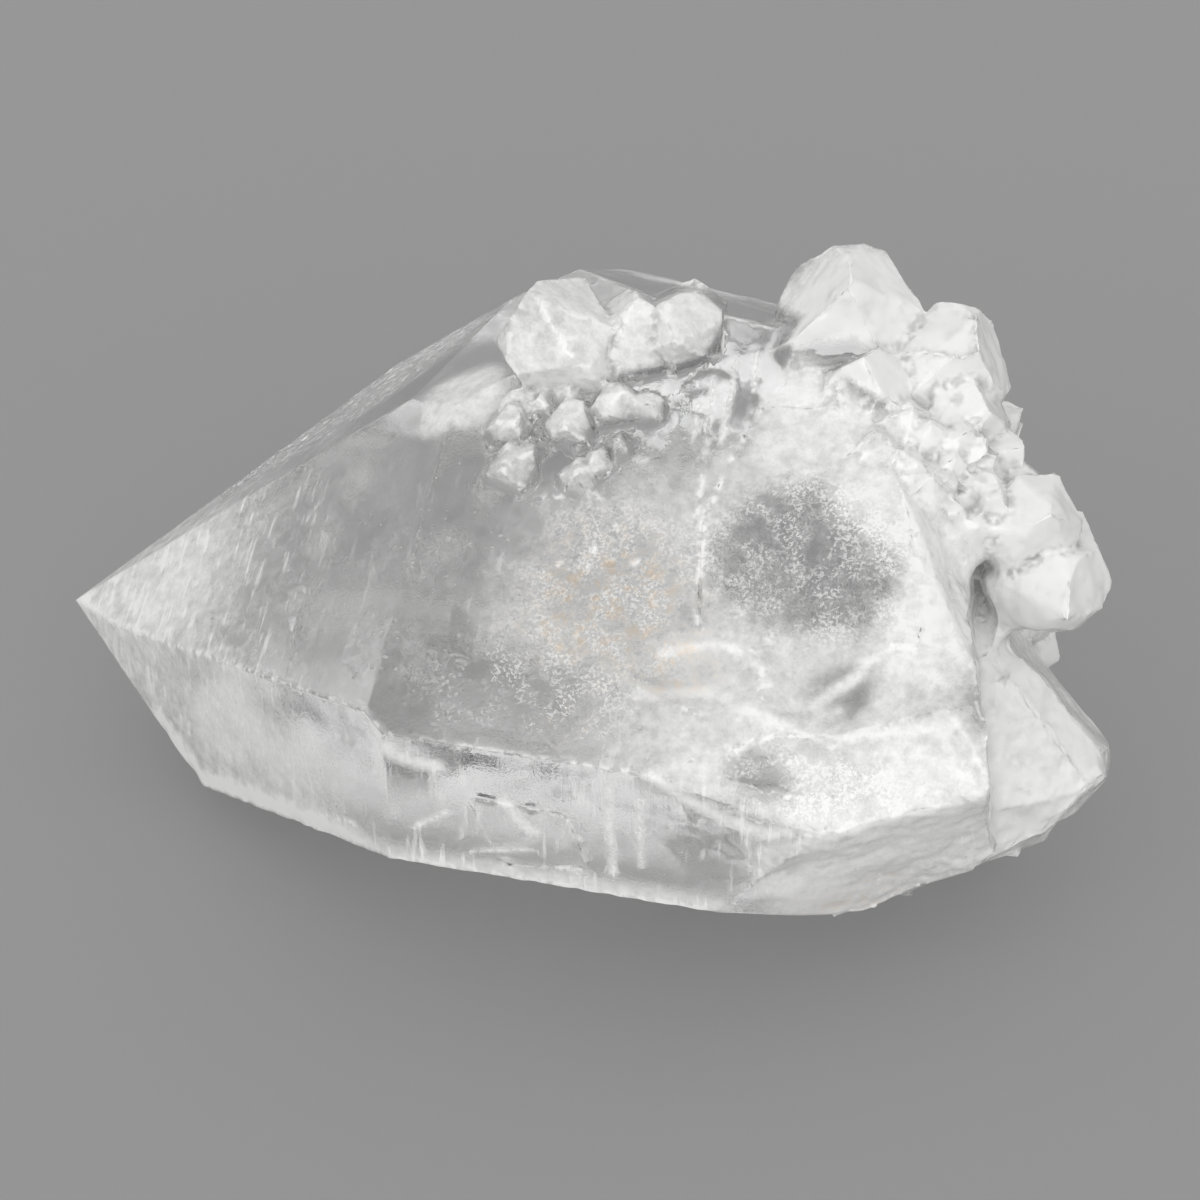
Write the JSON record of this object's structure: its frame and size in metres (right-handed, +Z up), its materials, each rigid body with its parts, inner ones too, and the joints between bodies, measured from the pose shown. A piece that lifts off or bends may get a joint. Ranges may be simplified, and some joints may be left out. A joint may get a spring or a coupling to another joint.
{
  "type": "quartz crystal point",
  "caption": "Natural clear quartz point lying on its side, with clusters of small stubby crystals grown over its top and its broken end.",
  "frame": {"origin": "middle of the crystal's box in plan, at the flat face it rests on", "axes": "+Z up, +X along the crystal from its tip towards its broken end, -Y towards the front that the picture shows"},
  "size_m": [0.051, 0.0324, 0.0297],
  "materials": {
    "clear_quartz": "clear, with matte, pitted and milky white areas"
  },
  "bodies": {
    "root": {"quartz_crystal": "clear_quartz"}
  },
  "joints": []
}
